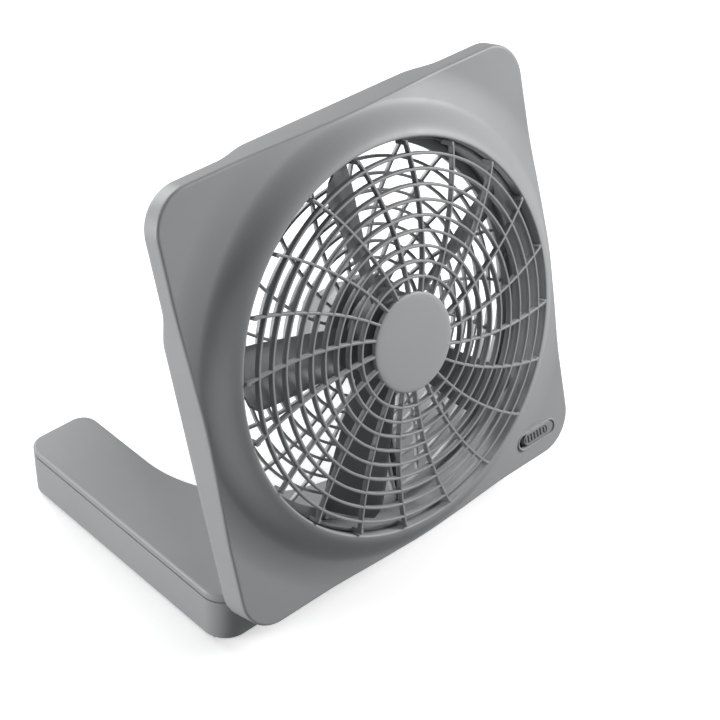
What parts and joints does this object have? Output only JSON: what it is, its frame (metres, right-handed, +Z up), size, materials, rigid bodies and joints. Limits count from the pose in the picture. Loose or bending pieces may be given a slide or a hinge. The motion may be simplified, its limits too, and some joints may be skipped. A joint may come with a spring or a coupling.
{
  "type": "box fan",
  "caption": "Square portable fan with a round domed grille, leaning on a U-shaped battery base that it folds flat onto.",
  "frame": {"origin": "on the surface it stands on, at the middle of the front foot", "axes": "+Z up, the air blows towards -Y and slightly up, the base's arms point towards +Y, +X is to the right seen from the front"},
  "size_m": [0.294, 0.2472, 0.3102],
  "materials": {
    "body_plastic": "fine satin grain",
    "grille_plastic": "satin, moulded",
    "cap_plastic": "satin, slightly cooler grey",
    "blade_plastic": "satin, darker grey",
    "slider_plastic": "satin",
    "motor_steel": "zinc plated",
    "shaft_steel": "ground",
    "screw_steel": "zinc plated",
    "contact_steel": "nickel plated",
    "bush_brass": "sintered bronze",
    "commutator_copper": "copper, worn",
    "ferrite": "dark grey ferrite",
    "armature_iron": "laminated iron with windings",
    "black_plastic": "matte",
    "board_green": "resin board",
    "resistor_ceramic": "ceramic",
    "cell_jacket": "plain dark jacket, no printing",
    "lead_insulation": "flexible insulation",
    "foot_rubber": "soft rubber"
  },
  "bodies": {
    "base": {"base_lid": "body_plastic", "base_tray": "body_plastic", "cell_left_1": "cell_jacket", "cell_left_2": "cell_jacket", "cell_left_3": "cell_jacket", "cell_right_1": "cell_jacket", "cell_right_2": "cell_jacket", "cell_right_3": "cell_jacket", "contact_springs": "contact_steel", "contact_plates": "contact_steel", "power_socket": "black_plastic", "socket_pin": "contact_steel", "base_lead": "lead_insulation", "hinge_pin_left": "shaft_steel", "hinge_pin_right": "shaft_steel", "base_screws": "screw_steel", "rubber_feet": "foot_rubber"},
    "housing": {"front_shell": "body_plastic", "front_grille": "grille_plastic", "hub_cap": "cap_plastic", "rear_shell": "body_plastic", "rear_grille": "grille_plastic", "motor_cover": "body_plastic", "housing_screws": "screw_steel", "grille_screws": "screw_steel", "motor_can": "motor_steel", "motor_magnets": "ferrite", "motor_end_cap": "black_plastic", "front_bush": "bush_brass", "rear_bush": "bush_brass", "motor_screws": "screw_steel", "motor_leads": "lead_insulation", "switch_body": "black_plastic", "switch_screws": "screw_steel", "speed_resistor": "resistor_ceramic", "control_board": "board_green"},
    "rotor": {"impeller": "blade_plastic", "motor_shaft": "shaft_steel", "motor_armature": "armature_iron", "commutator": "commutator_copper"},
    "slider": {"switch_slider": "slider_plastic"},
    "door_left": {"battery_door_left": "body_plastic"},
    "door_right": {"battery_door_right": "body_plastic"}
  },
  "joints": [
    {"name": "housing_fold", "type": "hinge", "parent": "base", "child": "housing", "pos_m": [0, -0.0055, 0.0315], "axis": [1, 0, 0], "range_deg": [-74.5, 0]},
    {"name": "impeller_spin", "type": "hinge", "parent": "housing", "child": "rotor", "pos_m": [0, -0.01554, 0.17334], "axis": [0, -0.9636, 0.2672], "continuous": true},
    {"name": "switch_slide", "type": "slide", "parent": "housing", "child": "slider", "axis": [1, 0, 0], "range_m": [-0.0046, 0]},
    {"name": "battery_door_left_slide", "type": "slide", "parent": "base", "child": "door_left", "axis": [0, 1, 0], "range_m": [0, 0.014]},
    {"name": "battery_door_right_slide", "type": "slide", "parent": "base", "child": "door_right", "axis": [0, 1, 0], "range_m": [0, 0.014]}
  ]
}
